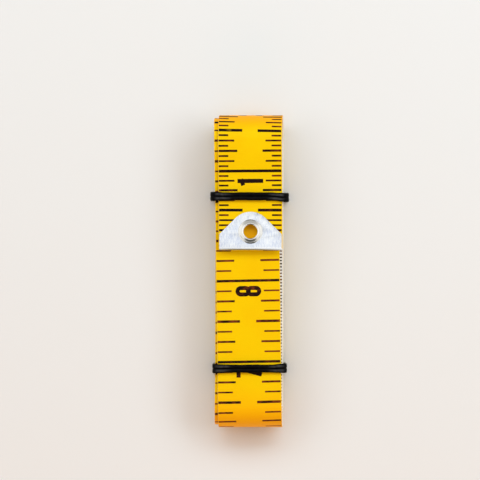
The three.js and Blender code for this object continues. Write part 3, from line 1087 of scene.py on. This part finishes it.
# Long and fine streaks and slow clouds, summed into one tone between grey and bright, with a painted
# highlight along the fold.
def brushedFinish():
    finish = Finish("brushed_nickel_plate")
    long = finish.noise(finish.objectPlace(brushed["long"]), 1, 3, 0.6)
    fine = finish.noise(finish.objectPlace(brushed["fine"]), 1, 2)
    cloudy = finish.noise(finish.objectPlace(brushed["cloudy"]), 1, 3)
    # painted highlight: the sheet is brighter along its fold at the tape's end
    foldHighlight = finish.ramp(0 - finish.hankPlace(1), *brushed["bend"])
    tone = finish.ramp(long * 0.5 + fine * 0.35 + cloudy * 0.35, 0.44, 0.74)
    colour = finish.blend(tone + foldHighlight, brushed["grey"], brushed["bright"])
    finish.set(
        colour=colour,
        metal=1,
        roughness=0.26 + long * 0.14 + cloudy * 0.08,
        normal=finish.bump(long * 0.6 + fine * 0.4, 0.3, 0.012),
    )
    return finish.material


nickel = {"shade": (0.80, 0.79, 0.73), "bright": (0.90, 0.89, 0.85)}


# A smear of fine noise takes the polish from bright to a warm shade, with hairline scratches.
def nickelFinish():
    finish = Finish("polished_nickel")
    smear = finish.noise(finish.objectPlace((700, 700, 700)), 1, 4)
    scratch = finish.noise(finish.objectPlace((2600, 2600, 2600)), 1, 2)
    colour = finish.blend(smear, nickel["shade"], nickel["bright"])
    finish.set(
        colour=colour,
        metal=1,
        roughness=0.10 + smear * 0.10,
        normal=finish.bump(scratch, 0.12, 0.01),
    )
    return finish.material


rubber = {
    "black": (0.0015, 0.0015, 0.002),
    "dusty": (0.005, 0.005, 0.005),
    "paintedHighlight": (0.060, 0.063, 0.070),  # painted highlight: a grey streak on the crests near the edges of the tape
    "paintedHighlightFrom": (0.0052, 0.0080),  # metres out from the middle
    "paintedHighlightUntil": (-0.0112, -0.0098),
}


# Black with dust in slow noise, fine draw lines round the strand, and a painted highlight on its crests.
def rubberFinish():
    finish = Finish("black_rubber")
    around = finish.attribute("strandPlace")[1][1]
    x = finish.hankPlace(0)
    outwards = x.sum("ABSOLUTE", x)
    dust = finish.noise(finish.objectPlace((900, 900, 900)), 1, 4)
    grain = finish.noise(finish.objectPlace((4200, 4200, 4200)), 1, 2)
    draw = (around * 9).sum("SINE", around * 9)
    crest = finish.ramp(around.sum("SINE", around), 0.86, 0.995)
    paintedHighlight = finish.ramp(outwards, *rubber["paintedHighlightFrom"]) * finish.ramp(0 - outwards, *rubber["paintedHighlightUntil"])
    colour = finish.blend(finish.ramp(dust, 0.45, 0.8), rubber["black"], rubber["dusty"])
    # painted highlight: grey on the strands' crests near both edges of the tape
    colour = finish.blend(paintedHighlight * crest * dust * 1.2, colour, rubber["paintedHighlight"])
    finish.set(
        colour=colour,
        roughness=0.24 + dust * 0.16,
        normal=finish.bump(grain * 0.6 + draw * 0.25, 0.25, 0.02),
        specular=0.06,
    )
    return finish.material


finishes = {
    "cloth": clothFinish(),
    "ink": inkFinish(),
    "brushed": brushedFinish(),
    "nickel": nickelFinish(),
    "rubber": rubberFinish(),
}
print("materials made")


def wear(piece, finish):
    piece.data.materials.clear()
    piece.data.materials.append(finishes[finish])


wear(woundCloth, "cloth")
wear(freeCloth, "cloth")
for printed in (inchFree, inchWound, metricFree, metricWound):
    wear(printed, "ink")
wear(tabPlate, "brushed")
wear(eyeletRing, "nickel")
for band in bandPieces.values():
    wear(band, "rubber")
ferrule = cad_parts["inner_ferrule"]
for slotOfFerrule in ferrule.material_slots:
    slotOfFerrule.material = finishes["brushed"]

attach(woundCloth, "hank")
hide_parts("tape_winding")
for printed in (inchWound, metricWound):
    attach(printed, "hank")
for piece in (freeCloth, inchFree, metricFree):
    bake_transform(piece)
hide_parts("tape_free_end")
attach(tabPlate, "flap")
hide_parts("end_tab")
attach(eyeletRing, "flap")
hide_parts("eyelet")
for node, band in bandPieces.items():
    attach(band, node)
    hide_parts(node)

studio = {
    "floor": (0.82, 0.85, 0.90),
    "floorGrain": (0.82, 0.815, 0.80),
    "ambient": 0.48,
    "bounce": (1, 0.74, 0.52),  # colour of the light that comes from all round
    "around": 1.0,  # what polished things see at both sides
    "aroundFrom": (0.30, 0.54),
    "lowest": 0.04,  # what they see at -Y
    "mirrored": [  # and from there over straight above to +Y: where it changes, and to what
        (-0.85, -0.62, 0.09),
        (-0.32, -0.14, 0.95),
        (-0.12, -0.04, 0.25),
        (0.04, 0.14, 1.38),
        (0.42, 0.62, 0.52),
        (0.84, 0.95, 0.03),
    ],
    "lamps": {  # watts, width and height, place, colour
        "left_lamp": (1.45, (0.8, 0.35), (-0.58, 0.20, 0.60), (0.81, 0.955, 1)),
        "right_lamp": (2.80, (0.8, 0.35), (0.58, 0.20, 0.60), (0.81, 0.955, 1)),
        "top_lamp": (2.85, (0.9, 0.35), (0, 0.50, 0.62), (0.81, 0.955, 1)),
        "warm_lamp": (0.62, (0.5, 0.2), (0, -0.50, 0.24), (1, 0.34, 0.06)),
    },
}


def makeFloor():
    half, low = 3000, -0.05
    corners = [(-half, -half, low), (half, -half, low), (half, half, low), (-half, half, low)]
    floor = putMesh("floor", corners, [(0, 1, 2, 3)])
    finish = Finish("floor_paper")
    grain = finish.noise(finish.objectPlace((40, 40, 40)), 1, 2)
    colour = finish.blend(grain * 0.1, studio["floor"], studio["floorGrain"])
    finish.set(colour=colour, roughness=0.85)
    floor.data.materials.append(finish.material)


# A lamp that faces the hank, and isn't seen in its metal.
def makeLamp(name, power, size, place, colour):
    lamp = bpy.data.lights.new(name, "AREA")
    lamp.shape = "RECTANGLE"
    lamp.energy = power
    lamp.size, lamp.size_y = size
    lamp.color = colour
    holder = addObject(name, lamp)
    holder.location = place
    holder.rotation_euler = (-holder.location).to_track_quat("-Z", "Y").to_euler()
    holder.visible_glossy = False


# The world lights things softly, and shows itself as a plain white where it is seen directly. In
# metal it is white at the sides, and in bands of light and dark from front to back.
def makeWorld():
    world = bpy.data.worlds.new("studio")
    bpy.context.scene.world = world
    finish = Finish("studio", world)

    def choose(share, first, second, start=0, end=1):
        stops = {"From Min": start, "From Max": end, "To Min": first, "To Max": second}
        settings = {"interpolation_type": "SMOOTHSTEP"}
        return finish.node("ShaderNodeMapRange", settings, {"Value": share, **stops})

    direction = finish.node("ShaderNodeTexCoord", output="Generated")
    x, y = [finish.node("ShaderNodeSeparateXYZ", sockets={0: direction}, output=k) for k in (0, 1)]
    mirrored = studio["lowest"]
    for start, end, level in studio["mirrored"]:
        mirrored = choose(y, mirrored, level, start, end)
    mirrored = choose(x.sum("ABSOLUTE", x), mirrored, studio["around"], *studio["aroundFrom"])
    strength = studio["ambient"]
    colour = studio["bounce"]
    for name, seen in (("Is Glossy Ray", mirrored), ("Is Camera Ray", 1), ("Is Transmission Ray", 1)):
        ray = finish.node("ShaderNodeLightPath", output=name)
        strength = choose(ray, strength, seen)
        colour = finish.blend(ray, colour, (1, 1, 1))
    finish.feed(finish.shader.inputs["Color"], colour)
    finish.feed(finish.shader.inputs["Strength"], strength)


makeFloor()
for name, settings in studio["lamps"].items():
    makeLamp(name, *settings)
makeWorld()

view = {"x": -3.02, "y": 9.82, "height": 1816, "lens": 431.2}
cameraData = bpy.data.cameras.new("camera")
cameraData.lens = view["lens"]
cameraData.sensor_width = 36
camera = addObject("camera", cameraData)
camera.location = (view["x"] * mm, view["y"] * mm, view["height"] * mm)
bpy.context.scene.camera = camera
bpy.context.scene.view_settings.view_transform = "Standard"

print("scene ready")
